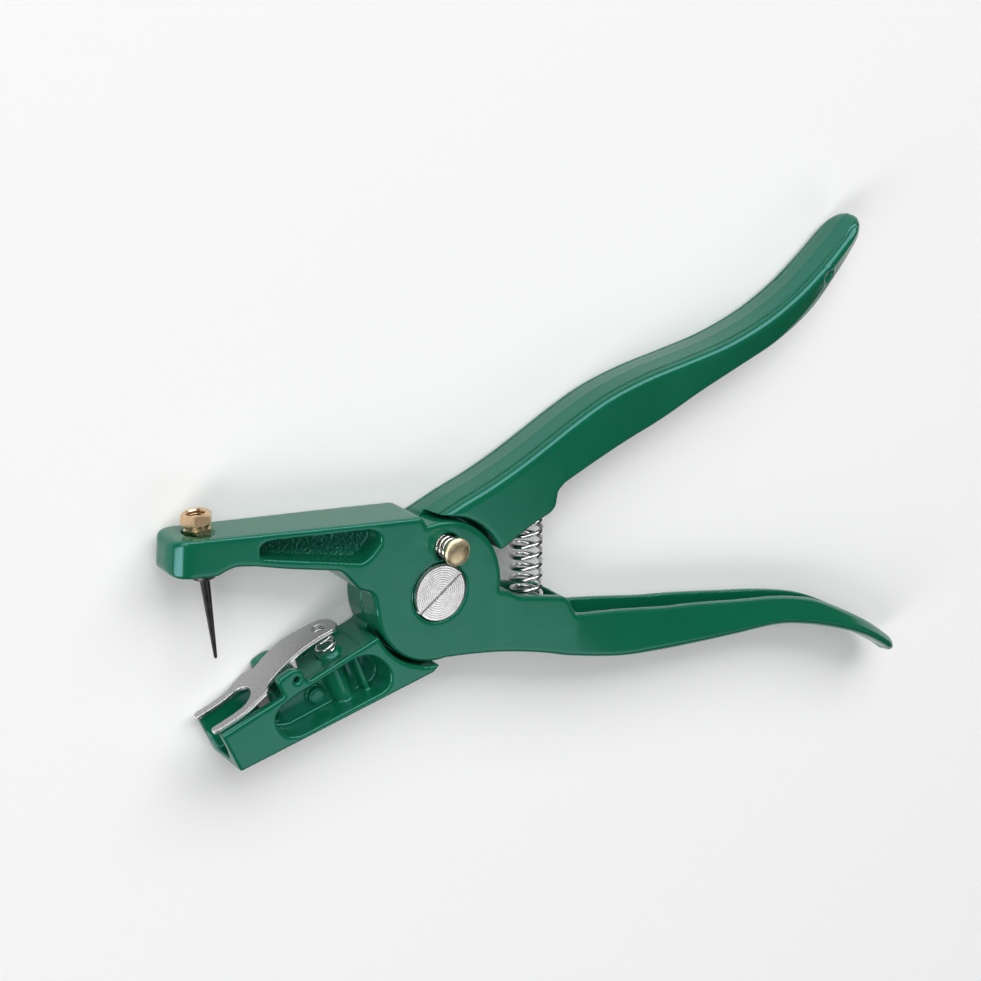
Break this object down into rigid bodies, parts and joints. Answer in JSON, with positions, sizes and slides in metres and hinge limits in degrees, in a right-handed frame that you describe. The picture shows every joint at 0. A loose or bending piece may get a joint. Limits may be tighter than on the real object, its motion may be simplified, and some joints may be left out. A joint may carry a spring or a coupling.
{
  "type": "ear tag applicator",
  "caption": "Plier-shaped applicator for livestock ear tags: cast levers on a pivot screw, needle arm over a box jaw with a sprung clip, coil return spring, lock button.",
  "frame": {"origin": "on the pivot's axis, at the tool's back face, where the end of the pivot screw lies flush", "axes": "+Z out of the front face with the slotted screw head, +X from the pivot towards the grips, +Y across the tool towards the upper grip"},
  "size_m": [0.2489, 0.1435, 0.0224],
  "materials": {
    "green_paint": "gloss",
    "bright_steel": "satin",
    "spring_steel": "gloss",
    "brass": "satin",
    "clip_steel": "gloss",
    "black_steel": "satin"
  },
  "bodies": {
    "tag_lever": {"tag_lever": "green_paint", "pivot_screw": "bright_steel", "pivot_nut": "bright_steel", "return_spring": "spring_steel", "clip_pin": "bright_steel", "clip_spring": "spring_steel"},
    "needle_lever": {"needle_lever": "green_paint", "needle": "black_steel", "needle_nut": "brass", "lock_spring": "spring_steel"},
    "lock_button": {"lock_button": "brass", "lock_ring": "bright_steel"},
    "tag_clip": {"tag_clip": "clip_steel"}
  },
  "joints": [
    {"name": "squeeze", "type": "hinge", "parent": "tag_lever", "child": "needle_lever", "pos_m": [0, 0, 0.00825], "axis": [0, 0, 1], "range_deg": [0, 22], "stiffness_Nm_per_rad": 1.2, "springref_deg": -20.05, "deforming": ["return_spring"]},
    {"name": "lock_press", "type": "slide", "parent": "needle_lever", "child": "lock_button", "axis": [0, 0, 1], "range_m": [-0.0018, 0], "stiffness_N_per_m": 300, "springref_m": 0.004, "deforming": ["lock_spring"]},
    {"name": "clip_press", "type": "hinge", "parent": "tag_lever", "child": "tag_clip", "pos_m": [-0.04321, -0.01519, 0.00825], "axis": [0, 0, 1], "range_deg": [-12, 0], "stiffness_Nm_per_rad": 0.15, "springref_deg": 22.92, "deforming": ["clip_spring"]}
  ]
}
